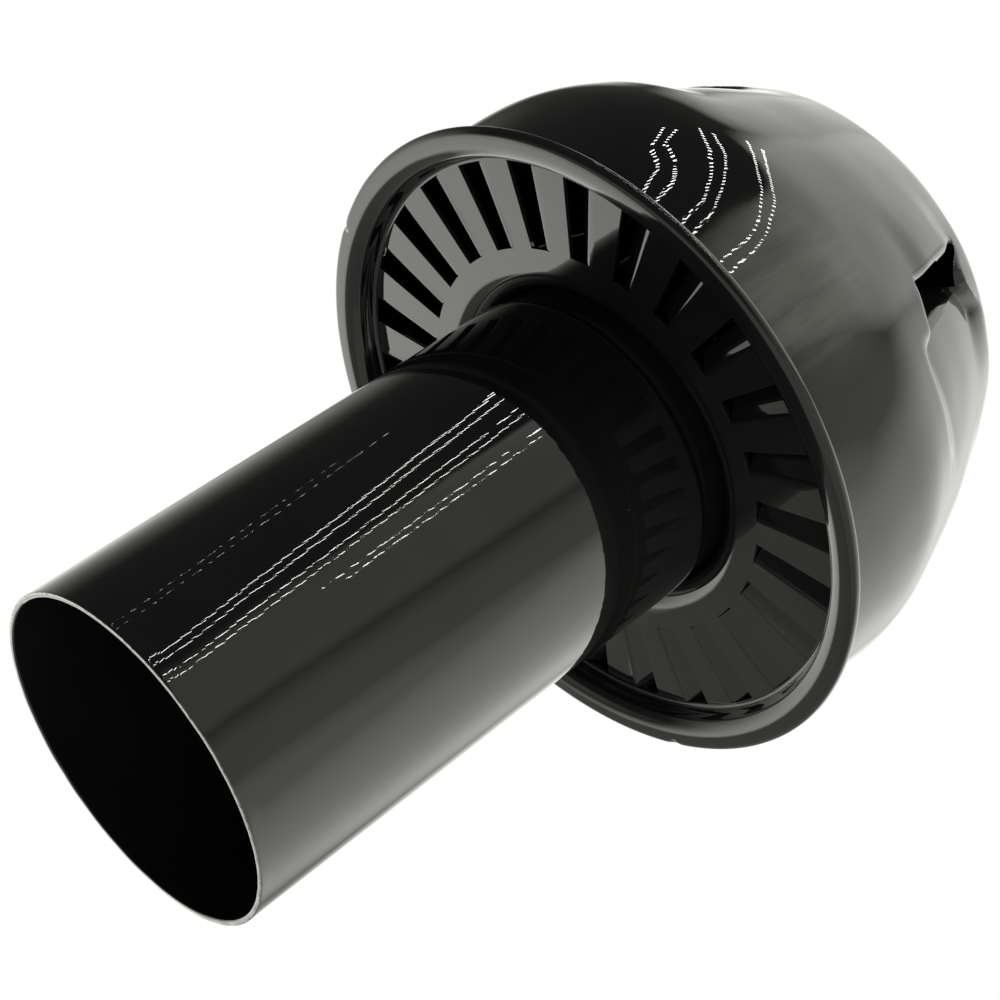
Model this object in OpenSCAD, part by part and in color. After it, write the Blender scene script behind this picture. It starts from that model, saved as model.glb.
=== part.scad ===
// Mushroom-shaped air intake cover with a ring of swirl vanes and side ejection ports.
// Pressed and painted sheet steel. Millimetres, +Z from the tube's open end to the dome.
// The origin is the centre of the tube's open end.

/* [Connection tube] */
// Outside diameter of the tube
tube_d = 60; // [50:1:70]
// Wall thickness of the tube
tube_wall = 1; // [0.8:0.1:1.5]
// Distance from the tube's open end to the middle plane of the rim
rim_z = 100; // [60:1:160]
// How far the tube is drawn in, on the radius, where it enters the neck
swage_step = 0.6; // [0.4:0.1:1]
// Height of the tube's inner end above the rim plane
riser_h = 38; // [24:1:50]

/* [Vane plate] */
// Thickness of the pressed sheet
sheet = 0.8; // [0.6:0.1:1]
// Outside diameter of the rolled rim
rim_d = 124; // [122:1:140]
// Height of the flat vane field above the rim plane
field_z = 3.8; // [3:0.1:6]
// Bend radius between the vane field and the neck
neck_bend_r = 4.5; // [3:0.5:6]
// Height of the neck's top edge above the rim plane
neck_h = 16; // [12:1:22]
// Number of vanes
vane_count = 26; // [20:1:28]
// Angle that one slot takes up, degrees
slot_deg = 6.7; // [5:0.1:7.5]
// Azimuth of the middle of the first slot, degrees
slot_phase = 6.25; // [0:0.25:13]
// Distance from the axis to the slots' inner ends
slot_inner_r = 38.4; // [37:0.2:42]
// Distance from the axis to the slots' outer ends
slot_outer_r = 54.6; // [50:0.2:54.6]
// Angle that a vane is bent up from the plate, degrees
vane_bend = 40; // [25:1:60]

/* [Dome] */
// Largest radius of the dome wall, at mid sheet
wall_r = 59.2; // [59:0.1:60]
// Height above the rim plane where the wall starts to lean in
shoulder_z = 20; // [15:1:25]
// Number of ejection ports
port_count = 4; // [2:1:4]
// Azimuth of the first port's leading edge, degrees
port_phase = 9; // [0:1:89]
// Height of the port's lower edge above the rim plane
port_low = 38; // [35:1:42]
// Height of the port's upper edge above the rim plane
port_high = 60; // [55:1:61]
// Arc that the tongue behind a port takes up, degrees
tongue_deg = 42; // [30:1:50]
// Width of a port's mouth, degrees round the axis
mouth_deg = 9; // [5:0.5:12]
// Depth of the tongue's free edge below the dome wall
tongue_depth = 3; // [2:0.2:5]

/* [Hidden] */
$fn = 96;

tube_r = tube_d / 2;
riser_r = tube_r - swage_step;
half = sheet / 2;
rim_r = rim_d / 2;
gloss_black = [0.03, 0.03, 0.035];
braze_gold = [0.55, 0.42, 0.2];

// Middle line of the rolled rim: front sheet, dome flange and curl lie on each other.
hem_mid_r = rim_r - sheet - half;
hem_front_z = -sheet;
pan_wall_r = 55.9;
pan_corner_r = 1;
bead_inner_r = 56.5;
bead_corner_r = 1.4;
curl_end_r = 59.6;

// Dome flange and wall.
flange_end_r = hem_mid_r - 0.2;
wall_base_r = 57.6;
fillet_r = 1.6;
shoulder_r = 30;
shoulder_lean = 16;
cone_r = 180;
cone_lean = 28;
brow_r = 10;
brow_lean = 70;

// Points on an arc about c from angle a0 to a1, degrees, anticlockwise positive.
function arc(c, r, a0, a1, n) =
    [for (i = [0:n]) let (a = a0 + (a1 - a0) * i / n) c + r * [cos(a), sin(a)]];

// Unit direction across the path at point i, to its left.
function across(path, i) =
    let (
        a = path[max(i - 1, 0)],
        b = path[min(i + 1, len(path) - 1)],
        d = (b - a) / norm(b - a)
    ) [-d[1], d[0]];

// Closed outline of a sheet of thickness t that follows the path at mid sheet.
function sheet_outline(path, t) = concat(
    [for (i = [0:len(path) - 1]) path[i] + across(path, i) * t / 2],
    [for (i = [len(path) - 1:-1:0]) path[i] - across(path, i) * t / 2]
);

// Vane plate: neck, bend, flat field, pan wall, rolled bead and curl.
neck_mid_r = riser_r + half;
plate_path = concat(
    [[neck_mid_r, neck_h]],
    arc([neck_mid_r + neck_bend_r, field_z + neck_bend_r], neck_bend_r, 180, 270, 8),
    arc([pan_wall_r - pan_corner_r, field_z - pan_corner_r], pan_corner_r, 90, 0, 5),
    arc([bead_inner_r + bead_corner_r, hem_front_z + bead_corner_r], bead_corner_r, 180, 270, 6),
    arc([hem_mid_r, 0], sheet, -90, 90, 10),
    [[curl_end_r, sheet]]
);

// Dome: flange, fillet, flared wall, shoulder, slow cone, brow and crown.
flare_dr = wall_r - wall_base_r;
flare_dz = shoulder_z - fillet_r;
flare_r = (flare_dr * flare_dr + flare_dz * flare_dz) / (2 * flare_dr);
flare_deg = asin(flare_dz / flare_r);
shoulder_c = [wall_r - shoulder_r, shoulder_z];
shoulder_end = shoulder_c + shoulder_r * [cos(shoulder_lean), sin(shoulder_lean)];
cone_c = shoulder_end - cone_r * [cos(shoulder_lean), sin(shoulder_lean)];
cone_end = cone_c + cone_r * [cos(cone_lean), sin(cone_lean)];
brow_c = cone_end - brow_r * [cos(cone_lean), sin(cone_lean)];
brow_end = brow_c + brow_r * [cos(brow_lean), sin(brow_lean)];
crown_r = brow_end[0] / cos(brow_lean);
crown_c = brow_end - crown_r * [cos(brow_lean), sin(brow_lean)];
crown_z = crown_c[1] + crown_r;
dome_path = concat(
    [[flange_end_r, 0]],
    arc([wall_base_r + fillet_r, fillet_r], fillet_r, 270, 180, 6),
    [for (p = arc([wall_r - flare_r, shoulder_z], flare_r, -flare_deg, 0, 8)) if (p[1] > fillet_r + 1) p],
    arc(shoulder_c, shoulder_r, 3, shoulder_lean, 4),
    arc(cone_c, cone_r, shoulder_lean + 1.5, cone_lean, 7),
    arc(brow_c, brow_r, cone_lean + 6, brow_lean, 6),
    arc(crown_c, crown_r, brow_lean + 3, 86, 5)
);
crown_edge = dome_path[len(dome_path) - 1];

// One slot seen from below, cut on three sides.
slot_half = slot_deg / 2;
function polar(r, a) = r * [cos(a), sin(a)];
slot_outline = [
    polar(slot_inner_r, -slot_half), polar(slot_outer_r, -slot_half),
    polar(slot_outer_r, slot_half), polar(slot_inner_r, slot_half)
];

// Everything above the rim plane is drawn from that plane.
module on_rim() {
    translate([0, 0, rim_z]) children();
}

// Places children at each of n even steps round the axis.
module around(n, phase) {
    for (i = [0:n - 1]) rotate([0, 0, phase + i * 360 / n]) children();
}

module connection_tube() {
    swage_z = rim_z - 0.5;
    swage_len = 1.2;
    top_z = rim_z + riser_h;
    color(gloss_black)
        rotate_extrude()
            polygon([
                [tube_r - tube_wall, 0],
                [tube_r, 0],
                [tube_r, swage_z],
                [riser_r, swage_z + swage_len],
                [riser_r, top_z],
                [riser_r - tube_wall, top_z],
                [riser_r - tube_wall, swage_z + swage_len],
                [tube_r - tube_wall, swage_z]
            ]);
}

// Bead of filler metal on the neck's top edge, round the tube.
module neck_braze() {
    bead = 1.6;
    color(braze_gold)
        on_rim()
            rotate_extrude()
                polygon(concat(
                    [[riser_r, neck_h]],
                    arc([riser_r, neck_h], bead, 0, 90, 6)
                ));
}

// One vane, cut on three sides and bent up about the slot's high-azimuth side,
// so that it rises away from the cut edge opposite.
module vane() {
    root = 0.25;
    gap = 0.15;
    inner = slot_inner_r + gap;
    outer = slot_outer_r - gap;
    reach = 2 * sin(slot_half);
    rotate([0, 0, slot_half])
        translate([0, 0, field_z - half])
            rotate([-vane_bend, 0, 0])
                linear_extrude(sheet)
                    polygon([
                        [inner, root],
                        [inner, -inner * reach],
                        [outer, -outer * reach],
                        [outer, root]
                    ]);
}

module vane_plate() {
    color(gloss_black)
        on_rim() {
            difference() {
                rotate_extrude() polygon(sheet_outline(plate_path, sheet));
                around(vane_count, slot_phase)
                    translate([0, 0, field_z - 3 * half])
                        linear_extrude(3 * sheet)
                            polygon(slot_outline);
            }
            around(vane_count, slot_phase) vane();
        }
}

// Wall of the dome as a closed shell, without its ports.
module dome_wall() {
    rotate_extrude() polygon(sheet_outline(dome_path, sheet));
    translate([0, 0, crown_edge[1] - half])
        cylinder(r = crown_edge[0] + 0.2, h = sheet);
}

// Block that holds the part of the dome wall between two heights and two azimuths.
module sector(low, high, from_deg, to_deg) {
    rotate([0, 0, from_deg])
        rotate_extrude(angle = to_deg - from_deg)
            translate([36, low]) square([30, high - low]);
}

// A piece of the wall swung in about its far end, so that its near edge lies deep.
module tongue() {
    swing = tongue_depth / sin(tongue_deg - mouth_deg);
    intersection() {
        translate(concat(swing * polar(1, tongue_deg + 90), 0)) dome_wall();
        sector(port_low, port_high + 0.2, mouth_deg, tongue_deg + 1);
    }
}

// Shelf that closes the step between the tongue's upper edge and the wall.
module tongue_shelf() {
    shelf_deg = tongue_deg - mouth_deg - 4;
    outer = cone_c[0] + sqrt(pow(cone_r, 2) - pow(port_high - cone_c[1], 2)) + 0.3;
    rotate([0, 0, mouth_deg])
        rotate_extrude(angle = shelf_deg)
            translate([outer - tongue_depth - 1.2, port_high])
                square([tongue_depth + 1.2, sheet]);
}

module dome_shell() {
    color(gloss_black)
        on_rim() {
            difference() {
                dome_wall();
                around(port_count, port_phase) sector(port_low, port_high, 0, tongue_deg);
            }
            around(port_count, port_phase) {
                tongue();
                tongue_shelf();
            }
        }
}

connection_tube();
neck_braze();
vane_plate();
dome_shell();
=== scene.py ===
"""Looks of the air intake cover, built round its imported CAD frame.

The pieces' lengths are in millimetres until a mesh is made, and their angles are degrees of azimuth from +X.
Heights called h are measured from the rim plane. The stage, the lights and the materials are in metres.
"""

import math

import bpy
import numpy as np
from mathutils import Matrix, Vector, noise


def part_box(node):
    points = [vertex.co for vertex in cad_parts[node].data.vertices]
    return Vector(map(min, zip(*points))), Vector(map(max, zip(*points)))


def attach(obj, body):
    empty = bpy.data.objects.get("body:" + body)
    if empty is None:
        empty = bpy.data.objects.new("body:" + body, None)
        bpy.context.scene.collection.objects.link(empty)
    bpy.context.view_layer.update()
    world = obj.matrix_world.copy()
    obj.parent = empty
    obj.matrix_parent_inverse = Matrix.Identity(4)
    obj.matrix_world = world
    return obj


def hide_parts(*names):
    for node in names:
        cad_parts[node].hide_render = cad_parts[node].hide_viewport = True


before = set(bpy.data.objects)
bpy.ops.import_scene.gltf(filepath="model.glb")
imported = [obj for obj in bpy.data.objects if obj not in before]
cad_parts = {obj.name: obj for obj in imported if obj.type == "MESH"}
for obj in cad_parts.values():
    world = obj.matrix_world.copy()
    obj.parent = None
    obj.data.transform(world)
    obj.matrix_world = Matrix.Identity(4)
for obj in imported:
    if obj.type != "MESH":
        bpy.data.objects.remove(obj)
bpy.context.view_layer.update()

MM = 0.001
SHEET = 0.8
HALF = SHEET / 2
RIM_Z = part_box("vane_plate")[0].z / MM + SHEET + HALF
TUBE_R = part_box("connection_tube")[1].x / MM
TUBE_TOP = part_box("connection_tube")[1].z / MM
NECK_STEP = 0.6
NECK_H = 16.0


# ---------------------------------------------------------------- helpers


def smooth(t):
    """Smooth step from 0 to 1 as t goes from 0 to 1."""
    t = np.clip(t, 0.0, 1.0)
    return t * t * (3 - 2 * t)


def arc(cx, cz, r, a0, a1, n):
    """Points on an arc in the (radius, height) plane, both ends included."""
    a = np.radians(np.linspace(a0, a1, n + 1))
    return [(cx + r * math.cos(t), cz + r * math.sin(t)) for t in a]


def line(a, b, n):
    """n points from a towards b, without b."""
    return [(a[0] + (b[0] - a[0]) * k / n, a[1] + (b[1] - a[1]) * k / n) for k in range(n)]


def wave(p, size, seed):
    """Smooth noise of about the given wavelength, from -1 to 1."""
    return noise.noise(Vector(p) / size + Vector((seed, 2 * seed, 3 * seed)))


def make_piece(name, points, faces, wear=None):
    """A smooth-shaded mesh piece from points in millimetres; wear marks the points whose paint is gone."""
    mesh = bpy.data.meshes.new(name)
    used = sorted({i for f in faces for i in f})
    new = {old: k for k, old in enumerate(used)}
    mesh.from_pydata(
        [tuple(c * MM for c in points[i]) for i in used],
        [],
        [[new[i] for i in f] for f in faces],
    )
    mesh.validate()
    mesh.polygons.foreach_set("use_smooth", [True] * len(mesh.polygons))
    worn = mesh.attributes.new("wear", "FLOAT", "POINT")
    values = [0.0 if wear is None else wear[i] for i in used]
    worn.data.foreach_set("value", np.array(values, np.float32))
    obj = bpy.data.objects.new(name, mesh)
    bpy.context.scene.collection.objects.link(obj)
    return obj


def revolve(name, profile, count, wobble=None, wear=None):
    """A closed ring round Z.

    profile is a loop of (r, z). wobble moves a point in r and z, and wear says how bare it is.
    """
    points, worn = [], []
    for k in range(count):
        a = 2 * math.pi * k / count
        for j, (r, z) in enumerate(profile):
            dr, dz = wobble(a, r, z) if wobble else (0.0, 0.0)
            points.append(((r + dr) * math.cos(a), (r + dr) * math.sin(a), z + dz))
            worn.append(wear(a, r, z) if wear else 0.0)
    n = len(profile)
    faces = []
    for k in range(count):
        for j in range(n):
            here, there = k * n, ((k + 1) % count) * n
            up = (j + 1) % n
            faces.append((here + j, there + j, there + up, here + up))
    return make_piece(name, points, faces, worn)


def thicken(obj, bevel):
    """Gives a sheet its thickness and breaks its cut edges."""
    solid = obj.modifiers.new("sheet", "SOLIDIFY")
    solid.thickness = SHEET * MM
    solid.offset = 0.0
    solid.use_even_offset = True
    edge = obj.modifiers.new("edge", "BEVEL")
    edge.width = bevel * MM
    edge.segments = 2
    edge.limit_method = "ANGLE"
    edge.angle_limit = math.radians(40)
    edge.use_clamp_overlap = True
    edge.harden_normals = True


# ---------------------------------------------------------------- connection tube


def build_tube():
    """The tube, drawn in by a small step where it enters the neck, with a worn lip at its open end."""
    wall, step = 1.0, NECK_STEP
    swage, swage_len = RIM_Z - 0.5, 1.2
    r_out, r_in = TUBE_R, TUBE_R - wall
    top_out, top_in = r_out - step, r_in - step
    lip, burr = 0.14, 0.3
    outer = (
        arc(r_out - lip, lip, lip, -90, 0, 4)
        + line((r_out, 0.6), (r_out, 3.0), 3)
        + line((r_out, 3.0), (r_out, swage - 1.5), 40)
        + [(r_out, swage - 1.5), (r_out, swage - 0.5)]
        + [
            (r_out - step * float(smooth(t)), swage + swage_len * t)
            for t in np.linspace(0.05, 0.95, 7)
        ]
        + line((top_out, swage + swage_len + 0.6), (top_out, TUBE_TOP - 0.5), 14)
    )
    top = arc(top_out - 0.2, TUBE_TOP - 0.2, 0.2, 0, 90, 3) + arc(
        top_in + 0.2, TUBE_TOP - 0.2, 0.2, 90, 180, 3
    )
    inner = (
        line((top_in, TUBE_TOP - 0.6), (top_in, swage + swage_len + 0.6), 14)
        + [
            (top_in + step * float(smooth(t)), swage + swage_len * (1 - t))
            for t in np.linspace(0.05, 0.95, 7)
        ]
        + [(r_in, swage - 0.5), (r_in, swage - 1.5)]
        + line((r_in, swage - 3), (r_in, 0.8), 40)
        + arc(r_in + burr, burr, burr, 180, 270, 5)
    )
    profile = outer + top + inner

    def wobble(a, r, z):
        p = (math.cos(a) * TUBE_R, math.sin(a) * TUBE_R, z)
        outside = r >= r_out - 0.75
        fade = float(smooth(z / 3.0))
        out = -0.05 + 0.05 * wave(p, 34, 3.1) + 0.012 * wave(p, 9, 5.7)
        lip_drop = 0.05 * (1 + wave(p, 3.2, 8.2)) * float(1 - smooth(z / 0.8))
        return (out * fade if outside else -out * fade * 0.3), lip_drop

    def wear(a, r, z):
        return 1.0 if z < 0.1 and r_in + 0.45 < r < r_out + 0.01 else 0.0

    return revolve("tube_body", profile, 320, wobble, wear)


# ---------------------------------------------------------------- braze bead


def build_braze():
    """The ring of filler metal in the corner between the tube and the end of the neck."""
    riser, height = TUBE_R - NECK_STEP, RIM_Z + NECK_H
    bead, flat = 1.6, 0.35
    ripples = 64
    profile = (
        [(riser + 0.02, height + 0.02), (riser + 0.6, height + 0.02)]
        + arc(riser, height, bead - 0.05, 3, 84, 9)
        + [(riser + 0.02, height + bead - flat)]
    )

    def wobble(a, r, z):
        rise = max(z - height, 0) / bead
        reach = max(r - riser, 0) / bead
        ripple = 0.5 + 0.5 * math.sin(ripples * a + 1.2 * math.sin(5 * a))
        uneven = 0.5 + 0.5 * wave((math.cos(a) * 30, math.sin(a) * 30, 0), 11, 1.7)
        shrink = 0.12 * ripple + 0.22 * uneven
        return -shrink * reach * (r > riser + 0.3), -shrink * rise

    return revolve("braze_bead", profile, 384, wobble)


# ---------------------------------------------------------------- vane plate

VANES = 26
SLOT_DEG = 6.7
SLOT_PHASE = 6.25
SLOT_INNER = 38.4
SLOT_OUTER = 54.6
VANE_BEND = 40.0
FIELD_H = 3.8
NECK_BEND = 4.5
NECK_R = TUBE_R - NECK_STEP + HALF
PAN_WALL_R = 55.9
BEAD_R = 56.5
HEM_R = 60.8
NICKS = (163.0, 25.0)
SLOT_COLUMNS = 6
BAR_COLUMNS = 6
VANE_BEND_R = 1.3
VANE_GAP = 0.12


def plate_rows():
    """Rows of the plate's middle surface, from the neck to the curl's end: (r, h, in the slots)."""
    field = FIELD_H
    neck = line((NECK_R, NECK_H), (NECK_R, field + NECK_BEND), 6)
    bend = arc(NECK_R + NECK_BEND, field + NECK_BEND, NECK_BEND, 180, 270, 14)
    rows = [(r, h, False) for r, h in neck + bend]
    first = rows[-1][0]
    rows += [(first + (SLOT_INNER - first) * k / 4, field, False) for k in range(1, 4)]
    rows += [
        (r, field, True)
        for r in (
            SLOT_INNER,
            SLOT_INNER + 0.5,
            *np.linspace(SLOT_INNER + 1.2, SLOT_OUTER - 1.2, 8),
            SLOT_OUTER - 0.5,
            SLOT_OUTER,
        )
    ]
    crown = np.radians(np.linspace(0, 90, 15))
    rows += [
        (r, h, False)
        for r, h in arc(PAN_WALL_R - 1.0, field - 1.0, 1.0, 86, 0, 7)
        + line((PAN_WALL_R + 0.06, 2.4), (BEAD_R - 0.02, 1.2), 3)
        + [
            (BEAD_R + 3.0 * (1 - math.cos(t)), 0.9 - (0.9 + SHEET) * math.sin(t))
            for t in crown
        ]
        + [(HEM_R - 0.7, -SHEET)]
        + arc(HEM_R, 0.0, SHEET, -90, 90, 14)
        + [(59.6, SHEET)]
    ]
    return rows


def build_plate():
    """The plate with its neck, slots, bent vanes and rolled rim, as one folded sheet."""
    rows = plate_rows()
    slots, bars = SLOT_COLUMNS, BAR_COLUMNS
    per = slots + bars
    pitch = 360.0 / VANES
    count = VANES * per
    first = next(j for j, row in enumerate(rows) if row[2])
    last = max(j for j, row in enumerate(rows) if row[2])
    points, worn = [], []

    def angle(c):
        """Azimuth of column c."""
        vane, k = divmod(c, per)
        low = SLOT_PHASE + vane * pitch - SLOT_DEG / 2
        if k < slots:
            return low + SLOT_DEG * k / slots
        return low + SLOT_DEG + (pitch - SLOT_DEG) * (k - slots) / bars

    for r, h, _ in rows:
        for c in range(count):
            deg = angle(c)
            a = math.radians(deg)
            rr, hh = r, h
            edge = 0.0
            if r > 57:
                p = (math.cos(a) * 60, math.sin(a) * 60, 0)
                rr -= 0.03 * (1 + wave(p, 7, 4.4))
                hh += 0.03 * wave(p, 9, 2.4) if h < 0 else 0.0
                for nick in NICKS:
                    off = (deg - nick + 180) % 360 - 180
                    near = math.exp(-((off / 0.9) ** 2)) * (r > 60.6)
                    rr -= 0.5 * near
                    edge = max(edge, near * (h < 0.6))
            elif 34 < r < 55:
                p = (r * math.cos(a), r * math.sin(a), 0)
                hh += 0.05 * wave(p, 14, 6.1)
            points.append((rr * math.cos(a), rr * math.sin(a), RIM_Z + hh))
            worn.append(edge)
    faces = []
    for j in range(len(rows) - 1):
        open_row = first <= j < last
        for c in range(count):
            if open_row and c % per < slots:
                continue
            d = (c + 1) % count
            faces.append((j * count + c, (j + 1) * count + c, (j + 1) * count + d, j * count + d))

    # Vanes: the metal cut out of each slot, bent up about the slot's high-azimuth side.
    bend = math.radians(VANE_BEND)
    bend_len = VANE_BEND_R * bend
    middle = (SLOT_INNER + SLOT_OUTER) / 2
    shorten = 1 - 0.14 / (SLOT_OUTER - middle)
    spans = [bend_len * t for t in (0.17, 0.33, 0.5, 0.67, 0.83, 1.0)]
    for vane in range(VANES):
        hinge = math.radians(SLOT_PHASE + vane * pitch + SLOT_DEG / 2)
        out = np.array((math.cos(hinge), math.sin(hinge), 0.0))
        side = np.array((math.sin(hinge), -math.cos(hinge), 0.0))
        lean = 1 + 0.05 * wave((vane * 3.7, 1.3, 0), 2.0, 9.3)
        previous = None
        for j in range(first, last + 1):
            r, h, _ = rows[j]
            width = 2 * r * math.sin(math.radians(SLOT_DEG / 2)) - VANE_GAP
            steps = spans + [
                bend_len + (width - bend_len) * t for t in (0.2, 0.4, 0.6, 0.8, 1.0)
            ]
            reach = middle + (r - middle) * shorten
            row = [j * count + vane * per + slots]
            for s in steps:
                t = min(s / VANE_BEND_R, bend)
                flat = max(s - bend_len, 0)
                x = VANE_BEND_R * math.sin(t) + flat * math.cos(bend)
                z = VANE_BEND_R * (1 - math.cos(t)) + flat * math.sin(bend) * lean
                p = out * reach + side * x
                row.append(len(points))
                points.append((p[0], p[1], RIM_Z + h + z))
                worn.append(0.0)
            if previous:
                faces += [
                    (previous[m], previous[m + 1], row[m + 1], row[m])
                    for m in range(len(row) - 1)
                ]
            previous = row
    plate = make_piece("plate_body", points, faces, worn)
    thicken(plate, 0.12)
    return plate


# ---------------------------------------------------------------- dome

PORTS = 4
PORT_PHASE = 9.0
PORT_LOW = 38.0
PORT_HIGH = 60.0

# Round each port, a is the number of degrees past the hood's edge, toward the tongue.
HOOD_DEG = 20.0
MOUTH = 6.5
DIVE_DEG = 10.0
APEX_CUT = 8.5
RIM_CUT = 13.0
TONGUE_END = 46.0
TONGUE_DEPTH = 2.5
TONGUE_DIVE = 0.9
EDGE_ROLL = 1.6
HOOD_BULGE = 0.6325


def dome_path():
    """The dome's middle line from the flange to the apex, as (r, h) points close together."""
    wall_r, shoulder_h, base_r, fillet = 59.2, 20.0, 57.6, 1.6
    flare_deg, turn_r = 7.4, 90.0
    flare = math.radians(flare_deg)
    turn_start = (
        wall_r - turn_r * (1 - math.cos(flare)),
        shoulder_h - turn_r * math.sin(flare),
    )
    path = line((HEM_R - 0.2, 0.0), (base_r + fillet, 0.0), 4)
    path += arc(base_r + fillet, fillet, fillet, 270, 180, 12)
    path += line(path[-1], turn_start, 24)[1:]
    path += arc(wall_r - turn_r, shoulder_h, turn_r, -flare_deg, 0, 20)
    # Shoulder, cone and brow: each arc's radius, and how far from upright the wall leans at its end.
    lean = 0.0
    for bend_r, to in ((30.0, 16.0), (180.0, 28.0), (10.0, 70.0)):
        a = math.radians(lean)
        c = (path[-1][0] - bend_r * math.cos(a), path[-1][1] - bend_r * math.sin(a))
        path += arc(c[0], c[1], bend_r, lean, to, 60)[1:]
        lean = to
    crown_r = path[-1][0] / math.cos(math.radians(lean))
    crown_h = path[-1][1] - crown_r * math.sin(math.radians(lean))
    path += arc(0.0, crown_h, crown_r, lean, 90, 60)[1:]
    return np.array(path)


def build_dome():
    """The dome as one sheet, cut at each port's mouth, with the tongue pressed in past the cut."""
    path = dome_path()
    along = np.concatenate([[0], np.cumsum(np.linalg.norm(np.diff(path, axis=0), axis=1))])
    slope = np.gradient(path, along, axis=0)
    outward = np.stack([slope[:, 1], -slope[:, 0]], 1)
    outward /= np.linalg.norm(outward, axis=1)[:, None]
    fillet_end = int(np.argmax(path[:, 1] > 1.55))

    def at_height(h):
        return float(np.interp(h, path[fillet_end:, 1], along[fillet_end:]))

    low_s, high_s = at_height(PORT_LOW), at_height(PORT_HIGH)
    start_s, end_s = at_height(30.0), at_height(66.0)
    total = along[-1]
    rows = np.concatenate(
        [
            np.linspace(0, along[fillet_end], 14)[:-1],
            np.linspace(along[fillet_end], start_s, 22)[:-1],
            np.linspace(start_s, low_s, 15)[:-1],
            np.linspace(low_s, high_s, 34)[:-1],
            np.linspace(high_s, end_s, 16)[:-1],
            np.linspace(end_s, total - 1.2, 48),
        ]
    )
    low_j = int(np.argmin(abs(rows - low_s)))
    high_j = int(np.argmin(abs(rows - high_s)))

    block = np.concatenate(
        [
            np.arange(-20, -3, 1.0),
            np.arange(-3, 20, 0.5),
            np.arange(20, 50, 1.0),
            np.arange(50, 70, 1.25),
        ]
    )
    turn = 360.0 / PORTS
    columns = [(PORT_PHASE + turn * k + a, a) for k in range(PORTS) for a in block]
    count = len(columns)

    def low_edge(a):
        """Height of the opening's rim-side edge."""
        fall = 39.0 - 2.0 * smooth((a - 1) / 8)
        back = smooth((abs(a - 5) - 8) / 12)
        return fall * (1 - back) + PORT_LOW * back

    def high_edge(a):
        """Height of the opening's apex-side edge and of the tongue's crease."""
        dip = 60.4 - 3.0 * smooth((a - 1) / 5) + 3.6 * smooth((a - 8) / 9)
        back = smooth((abs(a - 8) - 12) / 14)
        return dip * (1 - back) + PORT_HIGH * back

    def depth(a):
        """Depth of the tongue below the wall, which dives as it runs in under the hood."""
        ramp = TONGUE_DEPTH * (1 - smooth((a - DIVE_DEG) / (TONGUE_END - DIVE_DEG)))
        return ramp + TONGUE_DIVE * max(DIVE_DEG - a, 0) ** 1.35

    def place(deg, a, j, tongue):
        """The point at azimuth deg on row j, a degrees past its port's hood edge."""
        s = rows[j]
        lo, hi = at_height(low_edge(a)), at_height(high_edge(a))
        near_low = 1 - smooth(abs(s - low_s) / 9)
        near_high = 1 - smooth(abs(s - high_s) / 6)
        s += (lo - low_s) * near_low + (hi - high_s) * near_high
        rim_side = s < (lo + hi) / 2
        cut_blend = smooth((a - 8) / (RIM_CUT - 8))
        reach = 1.8 + 9.0 * smooth((a - 12) / 16)
        past_crease = smooth((s - hi + reach * 0.4) / reach)
        down = 0.0
        if tongue:
            down = depth(a) * (1 - past_crease * smooth((a - 8) / 4))
        elif a >= 0:
            wall_depth = depth(max(a, DIVE_DEG))
            if rim_side:
                down = wall_depth * cut_blend * (1 - smooth((lo - s) / 6.5))
            else:
                down = wall_depth * smooth(a / DIVE_DEG) * (1 - past_crease)
        hood = smooth(1 + a / HOOD_DEG) if a <= 0 else 1 - smooth(a / 5)
        band = smooth((s - lo) / 7) * smooth((hi - s) / 7)
        if not tongue:
            down -= HOOD_BULGE * hood * band
            if -EDGE_ROLL < a <= 0 and lo <= s <= hi:
                down += 0.5 * (1 + a / EDGE_ROLL) ** 2
            if 0 <= a < RIM_CUT and s > lo - EDGE_ROLL and rim_side:
                down += 0.4 * min(1 - (lo - s) / EDGE_ROLL, 1) ** 2 * (1 - cut_blend)
        r, h = np.interp(s, along, path[:, 0]), np.interp(s, along, path[:, 1])
        nr, nh = np.interp(s, along, outward[:, 0]), np.interp(s, along, outward[:, 1])
        t = math.radians(deg)
        p = (r * math.cos(t), r * math.sin(t), h)
        dents = 0.22 * wave(p, 21, 1.3) + 0.11 * wave(p, 9.5, 4.9)
        down += (0.18 - dents) * smooth((h - 3) / 12)
        r, h = r - nr * down, h - nh * down
        return (r * math.cos(t), r * math.sin(t), RIM_Z + h)

    # Past the mouth the tongue is its own sheet along the two cut edges, so those points are doubled.
    points, index, tongue_index = [], {}, {}
    for c, (deg, a) in enumerate(columns):
        for j in range(len(rows)):
            between = low_j < j < high_j
            if between and 0 < a < MOUTH:
                continue
            index[c, j] = len(points)
            points.append(place(deg, a, j, between and a >= MOUTH))
            free_low = j == low_j and MOUTH <= a < RIM_CUT
            free_high = j == high_j and MOUTH <= a < APEX_CUT
            if free_low or free_high:
                tongue_index[c, j] = len(points)
                points.append(place(deg, a, j, True))
    faces = []
    for c, (_, a) in enumerate(columns):
        d = (c + 1) % count
        for j in range(len(rows) - 1):
            inside = low_j <= j < high_j
            if inside and 0 <= a < MOUTH:
                continue
            face = []
            for corner in ((c, j), (d, j), (d, j + 1), (c, j + 1)):
                chosen = index[corner]
                if inside and a >= MOUTH:
                    chosen = tongue_index.get(corner, chosen)
                face.append(chosen)
            faces.append(face)
    apex = len(points)
    points.append((0.0, 0.0, RIM_Z + path[-1, 1] - 0.12))
    top = len(rows) - 1
    for c in range(count):
        faces.append((index[c, top], index[(c + 1) % count, top], apex))
    dome = make_piece("dome_body", points, faces)
    thicken(dome, 0.16)
    return dome


# ---------------------------------------------------------------- materials


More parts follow.
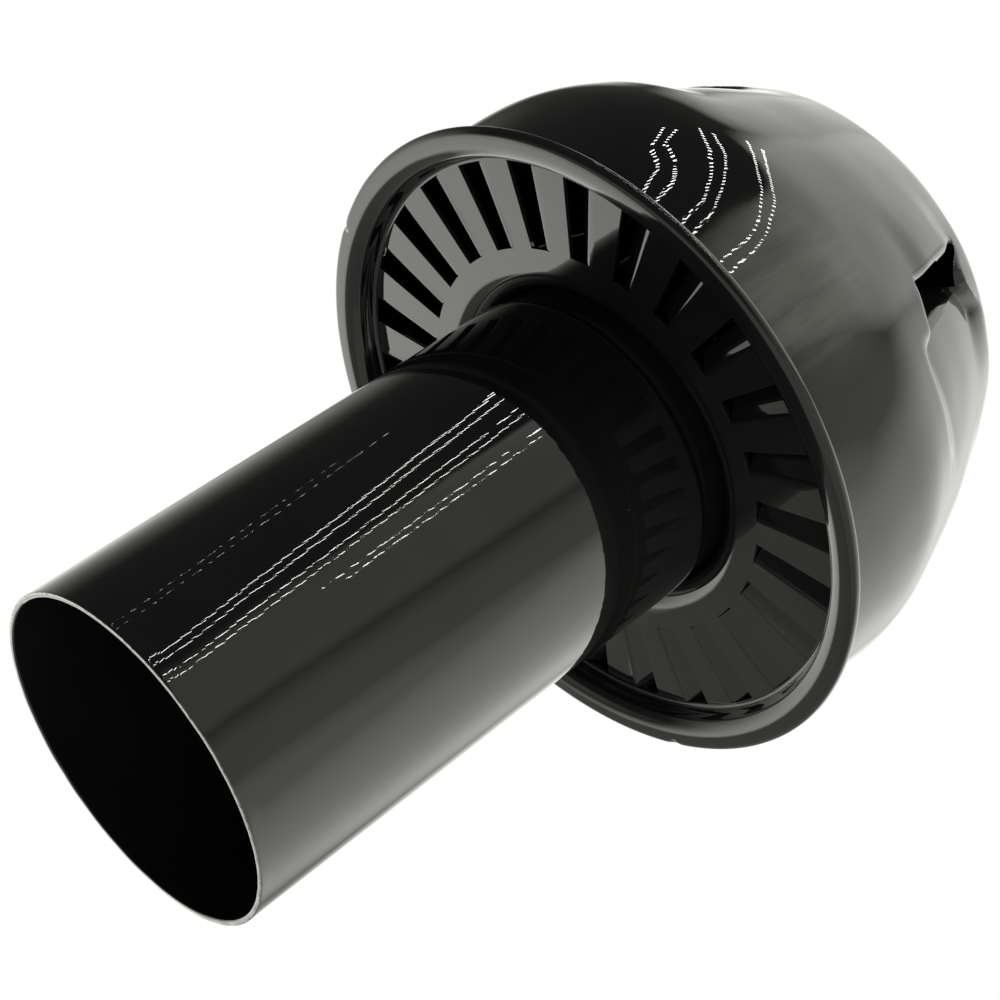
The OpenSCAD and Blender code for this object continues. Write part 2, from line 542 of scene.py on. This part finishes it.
PAINT = ((0.0075, 0.0075, 0.0077, 1), (0.0115, 0.0114, 0.0112, 1))
# Colour of the soft pale patch set below, mixed into the dome's base colour.
PATCH_TINT = (0.30, 0.30, 0.27, 1)
DUST = (0.11, 0.11, 0.11, 1)
STEEL = (0.26, 0.25, 0.23, 1)
BRASS = (0.30, 0.19, 0.07, 1)
# Centre, radius and strength of a soft pale patch, streaked along Z, in the dome's base colour.
PALE_PATCH = ((-0.002, -0.0585, 0.112), 0.015, 0.4)


class Nodes:
    """Adds nodes to a tree and links them, with short names for the common ones."""

    def __init__(self, tree):
        self.tree = tree
        tree.nodes.clear()

    def add(self, kind, inputs=None, **props):
        node = self.tree.nodes.new(kind)
        for key, value in props.items():
            setattr(node, key, value)
        for key, value in (inputs or {}).items():
            if isinstance(value, bpy.types.NodeSocket):
                self.tree.links.new(value, node.inputs[key])
            else:
                node.inputs[key].default_value = value
        return node

    def math(self, operation, a, b=0.0, clamp=False):
        node = self.add("ShaderNodeMath", {0: a, 1: b}, operation=operation)
        node.use_clamp = clamp
        return node.outputs[0]

    def span(self, value, low, high, to_low=0.0, to_high=1.0):
        """Smooth step from to_low to to_high as value goes from low to high."""
        node = self.add(
            "ShaderNodeMapRange",
            {
                "Value": value,
                "From Min": low,
                "From Max": high,
                "To Min": to_low,
                "To Max": to_high,
            },
            interpolation_type="SMOOTHSTEP",
        )
        return node.outputs["Result"]

    def mix(self, factor, a, b):
        node = self.add("ShaderNodeMix", data_type="RGBA")
        for socket, value in ((0, factor), (6, a), (7, b)):
            if isinstance(value, bpy.types.NodeSocket):
                self.tree.links.new(value, node.inputs[socket])
            else:
                node.inputs[socket].default_value = value
        return node.outputs[2]


def gloss_paint(name, dark, light, rough_low, rough_high, peel=1.0, pale_patch=None):
    """Sprayed gloss black, with colour drift, orange peel, dust nibs and bare steel where the wear is.

    The last argument, if given, is a soft pale patch mixed into the base colour at one place: (centre,
    radius, strength), streaked along Z.
    """
    material = bpy.data.materials.new(name)
    material.use_nodes = True
    n = Nodes(material.node_tree)
    place = n.add("ShaderNodeTexCoord").outputs["Object"]

    def grain(scale, detail, roughness=0.5):
        return n.add(
            "ShaderNodeTexNoise",
            {"Vector": place, "Scale": scale, "Detail": detail, "Roughness": roughness},
        ).outputs["Fac"]

    drift = grain(38.0, 3.0)
    peel_noise = grain(430.0, 1.5)
    ripple = grain(120.0, 1.0)
    fine = grain(2600.0, 2.0)
    nib = n.add(
        "ShaderNodeTexVoronoi", {"Vector": place, "Scale": 240.0, "Randomness": 1.0}
    )
    cell = n.add("ShaderNodeSeparateColor", {"Color": nib.outputs["Color"]}).outputs[0]
    rare = n.span(cell, 0.86, 0.92)
    speck = n.math("MULTIPLY", n.span(nib.outputs["Distance"], 0.06, 0.02), rare)

    wear = n.add("ShaderNodeAttribute", attribute_name="wear").outputs["Fac"]
    ragged = n.span(grain(900.0, 3.0, 0.7), 0.36, 0.5)
    bare = n.math("MULTIPLY", n.span(wear, 0.35, 0.8), ragged)

    colour = n.mix(n.span(drift, 0.3, 0.7), dark, light)
    # A soft pale patch, streaked along Z, mixed into the base colour at one place.
    if pale_patch:
        centre, reach, strength = pale_patch
        away = n.add(
            "ShaderNodeVectorMath", {0: place, 1: centre}, operation="DISTANCE"
        ).outputs["Value"]
        away = n.math("ADD", away, n.math("MULTIPLY", drift, reach * 0.5))
        stretched = n.add(
            "ShaderNodeVectorMath", {0: place, 1: (1.0, 1.0, 0.16)}, operation="MULTIPLY"
        ).outputs["Vector"]
        streaks = n.add(
            "ShaderNodeTexNoise",
            {"Vector": stretched, "Scale": 330.0, "Detail": 3.0, "Roughness": 0.6},
        ).outputs["Fac"]
        patch = n.span(away, reach * 1.5, reach * 0.7)
        haze = n.math("MULTIPLY", patch, n.span(streaks, 0.3, 0.68, 0.45, 1.0))
        colour = n.mix(n.math("MULTIPLY", haze, strength), colour, PATCH_TINT)
    colour = n.mix(n.math("MULTIPLY", speck, 0.5), colour, DUST)
    colour = n.mix(bare, colour, STEEL)
    roughness = n.span(drift, 0.3, 0.7, rough_low, rough_high)
    roughness = n.math("ADD", roughness, n.math("MULTIPLY", fine, 0.005))
    roughness = n.math("ADD", roughness, n.math("MULTIPLY", bare, 0.28))

    height = n.math("MULTIPLY", peel_noise, 0.0060 * peel)
    height = n.math("ADD", height, n.math("MULTIPLY", ripple, 0.012 * peel))
    height = n.math("ADD", height, n.math("MULTIPLY", speck, 0.006))
    bump = n.add(
        "ShaderNodeBump", {"Strength": 1.0, "Distance": MM, "Height": height}
    ).outputs["Normal"]

    shader = n.add(
        "ShaderNodeBsdfPrincipled",
        {
            "Base Color": colour,
            "Metallic": n.math("MULTIPLY", bare, 0.9),
            "Roughness": roughness,
            "IOR": 1.5,
            "Normal": bump,
        },
    )
    n.add("ShaderNodeOutputMaterial", {"Surface": shader.outputs[0]})
    return material


def braze_metal():
    """Brass filler under a thin coat of the paint."""
    material = bpy.data.materials.new("braze_painted")
    material.use_nodes = True
    n = Nodes(material.node_tree)
    place = n.add("ShaderNodeTexCoord").outputs["Object"]
    patch = n.add(
        "ShaderNodeTexNoise", {"Vector": place, "Scale": 260.0, "Detail": 4.0, "Roughness": 0.65}
    ).outputs["Fac"]
    grain = n.add(
        "ShaderNodeTexNoise", {"Vector": place, "Scale": 1500.0, "Detail": 2.0}
    ).outputs["Fac"]
    thin = n.span(patch, 0.6, 0.7)
    colour = n.mix(thin, (0.012, 0.012, 0.013, 1), BRASS)
    shader = n.add(
        "ShaderNodeBsdfPrincipled",
        {
            "Base Color": colour,
            "Metallic": n.math("MULTIPLY", thin, 0.9),
            "Roughness": n.span(patch, 0.3, 0.7, 0.18, 0.36),
            "IOR": 1.5,
            "Normal": n.add(
                "ShaderNodeBump", {"Strength": 1.0, "Distance": 0.02 * MM, "Height": grain}
            ).outputs["Normal"],
        },
    )
    n.add("ShaderNodeOutputMaterial", {"Surface": shader.outputs[0]})
    return material


# ---------------------------------------------------------------- stage, light and camera

CAMERA_AT = Vector((-0.0008, -0.3031, -0.1091))
RIGHT = Vector((0.5697, -0.4376, 0.6956))
UP = Vector((-0.8218, -0.3034, 0.4823))
AHEAD = Vector((0.0, 0.8465, 0.5324))


def make_camera():
    data = bpy.data.cameras.new("camera")
    data.sensor_width = 36.0
    data.lens = 74.4
    data.clip_start = 0.01
    camera = bpy.data.objects.new("camera", data)
    turn = Matrix((RIGHT, UP, -AHEAD)).transposed()
    camera.matrix_world = Matrix.Translation(CAMERA_AT) @ turn.to_4x4()
    bpy.context.scene.collection.objects.link(camera)
    bpy.context.scene.camera = camera


def make_world():
    """A pale studio: soft panels beside and below the object, a dark ceiling, and white to the eye."""
    world = bpy.data.worlds.new("studio")
    bpy.context.scene.world = world
    world.use_nodes = True
    n = Nodes(world.node_tree)
    ray = n.add("ShaderNodeTexCoord").outputs["Generated"]

    def toward(direction):
        node = n.add(
            "ShaderNodeVectorMath", {0: ray, 1: tuple(direction)}, operation="DOT_PRODUCT"
        )
        return node.outputs["Value"]

    def sheet(across, above, inner, outer, level):
        """A soft-edged round panel, across degrees to the right and above degrees up."""
        a, e = math.radians(across), math.radians(above)
        level_aim = RIGHT * math.sin(a) + AHEAD * math.cos(a)
        aim = level_aim * math.cos(e) + UP * math.sin(e)
        edge = [math.cos(math.radians(x)) for x in (outer, inner)]
        return n.span(toward(aim), edge[0], edge[1], 0.0, level)

    def both(a, b):
        return n.math("MULTIPLY", a, b)

    side, height, front = toward(RIGHT), toward(UP), toward(AHEAD)
    window = both(n.span(side, 0.3, 0.44, 0.0, 1.6), n.span(height, 0.875, 0.845))
    window = both(window, n.span(front, -0.42, -0.1, 0.4, 1.0))
    levels = [
        both(window, n.span(height, 0.22, 0.4)),
        sheet(33, 30, 16, 24, 1.25),
        sheet(60, -18, 22, 50, 1.9),
        sheet(100, -30, 14, 34, 1.25),
        sheet(16, 2, 10, 34, 1.3),
        both(n.span(side, 0.1, 0.5, 0.0, 0.7), n.span(height, 0.45, 0.1)),
        both(n.span(height, 0.1, -0.2, 0.0, 0.65), n.span(front, 0.25, -0.3)),
        n.span(height, -0.2, -0.45, 0.0, 0.35),
    ]
    # The panel on the left grows brighter toward its lower edge.
    rise = n.math("DIVIDE", n.math("SUBTRACT", 0.75, height), 1.17, True)
    slant = n.math("MULTIPLY", n.math("POWER", rise, 1.3), 2.7)
    slant = both(slant, n.span(side, -0.12, -0.34))
    slant = both(slant, n.span(front, 0.05, 0.36))
    levels.append(both(slant, n.span(height, -0.6, -0.5, 0.1, 1.0)))
    total = levels[0]
    for level in levels[1:]:
        total = n.math("MAXIMUM", total, level)
    room = 0.08
    total = n.math("ADD", total, room)
    lit = n.add("ShaderNodeBackground", {"Color": (1.0, 0.996, 0.95, 1), "Strength": total})
    white = n.add("ShaderNodeBackground", {"Color": (1, 1, 1, 1), "Strength": 1.0})
    seen = n.add("ShaderNodeLightPath").outputs["Is Camera Ray"]
    mixed = n.add("ShaderNodeMixShader", {0: seen, 1: lit.outputs[0], 2: white.outputs[0]})
    n.add("ShaderNodeOutputWorld", {"Surface": mixed.outputs[0]})


def make_floor():
    """Pale floor just under the tube's open end, seen only from above."""
    size, z = 1.6, -0.0006
    mesh = bpy.data.meshes.new("floor")
    mesh.from_pydata(
        [(-size, -size, z), (size, -size, z), (size, size, z), (-size, size, z)],
        [],
        [(0, 1, 2, 3)],
    )
    floor = bpy.data.objects.new("floor", mesh)
    bpy.context.scene.collection.objects.link(floor)
    material = bpy.data.materials.new("floor_pale")
    material.use_nodes = True
    n = Nodes(material.node_tree)
    pale = n.add("ShaderNodeBsdfDiffuse", {"Color": (0.86, 0.86, 0.85, 1)})
    clear = n.add("ShaderNodeBsdfTransparent")
    back = n.add("ShaderNodeNewGeometry").outputs["Backfacing"]
    both = n.add("ShaderNodeMixShader", {0: back, 1: pale.outputs[0], 2: clear.outputs[0]})
    n.add("ShaderNodeOutputMaterial", {"Surface": both.outputs[0]})
    mesh.materials.append(material)
    floor.visible_glossy = False
    floor.visible_diffuse = False
    floor.visible_shadow = False


def make_strips():
    """Four rows of ceiling lamps, which show only as reflections in the gloss."""
    # Each row: the size of its lamps, and the corners of the line it follows.
    strips = (
        (0.3, ((-0.73, -0.25, 0.29), (-0.71, -0.05, 0.46))),
        (
            1.0,
            ((-0.48, -0.60, 0.30), (-0.60, -0.34, 0.53), (-0.65, -0.25, 0.57), (-0.62, -0.14, 0.67)),
        ),
        (
            1.0,
            ((-0.34, -0.69, 0.30), (-0.47, -0.51, 0.53), (-0.53, -0.37, 0.64), (-0.51, -0.12, 0.76)),
        ),
        (
            1.0,
            ((-0.23, -0.71, 0.40), (-0.28, -0.63, 0.53), (-0.35, -0.45, 0.70), (-0.36, -0.06, 0.84)),
        ),
    )
    material = bpy.data.materials.new("lamp_glow")
    material.use_nodes = True
    n = Nodes(material.node_tree)
    glow = n.add("ShaderNodeEmission", {"Color": (1.0, 0.99, 0.97, 1), "Strength": 34.0})
    n.add("ShaderNodeOutputMaterial", {"Surface": glow.outputs[0]})
    target = Vector((0, 0, 0.06))
    for k, (thick, corners) in enumerate(strips):
        corners = [Vector(c) for c in corners]
        points, faces = [], []
        for part, (a, b) in enumerate(zip(corners, corners[1:])):
            stretch = 1.0 if part == 0 else 1.8  # the far lamps are longer and stand wider apart
            pitch, gap = 0.0115 * stretch, 0.045
            run = b - a
            unit = run.normalized()
            across = run.cross((target - (a + b) / 2).normalized()).normalized()
            long, wide = unit * 0.0014 * stretch * thick, across * 0.0048 * thick
            for m in range(int(run.length / pitch)):
                for row in (-0.5, 0.5):
                    c = a + unit * pitch * (m + row * 0.5) + across * gap * row
                    base = len(points)
                    for u, v in ((-1, -1), (1, -1), (1, 1), (-1, 1)):
                        points.append(c + long * u + wide * v)
                    faces.append((base, base + 1, base + 2, base + 3))
        mesh = bpy.data.meshes.new(f"lamps_{k}")
        mesh.from_pydata([tuple(p) for p in points], [], faces)
        mesh.materials.append(material)
        strip = bpy.data.objects.new(f"lamps_{k}", mesh)
        bpy.context.scene.collection.objects.link(strip)
        strip.visible_camera = False
        strip.visible_diffuse = False
        strip.visible_shadow = False


# ---------------------------------------------------------------- assembly

tube_gloss = gloss_paint("tube_gloss", *PAINT, 0.010, 0.022)
plate_gloss = gloss_paint("plate_gloss", *PAINT, 0.012, 0.030, 0.8)
dome_gloss = gloss_paint("dome_gloss", *PAINT, 0.010, 0.022, 1.2, PALE_PATCH)
pieces = (
    (build_tube(), "connection_tube", "tube_paint", tube_gloss),
    (build_braze(), "neck_braze", "braze", braze_metal()),
    (build_plate(), "vane_plate", "plate_paint", plate_gloss),
    (build_dome(), "dome_shell", "dome_paint", dome_gloss),
)
for piece, node, slot, material in pieces:
    piece.data.materials.append(material)
    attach(piece, "root")
    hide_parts(node)

make_camera()
make_world()
make_floor()
make_strips()
bpy.context.scene.view_settings.view_transform = "Standard"
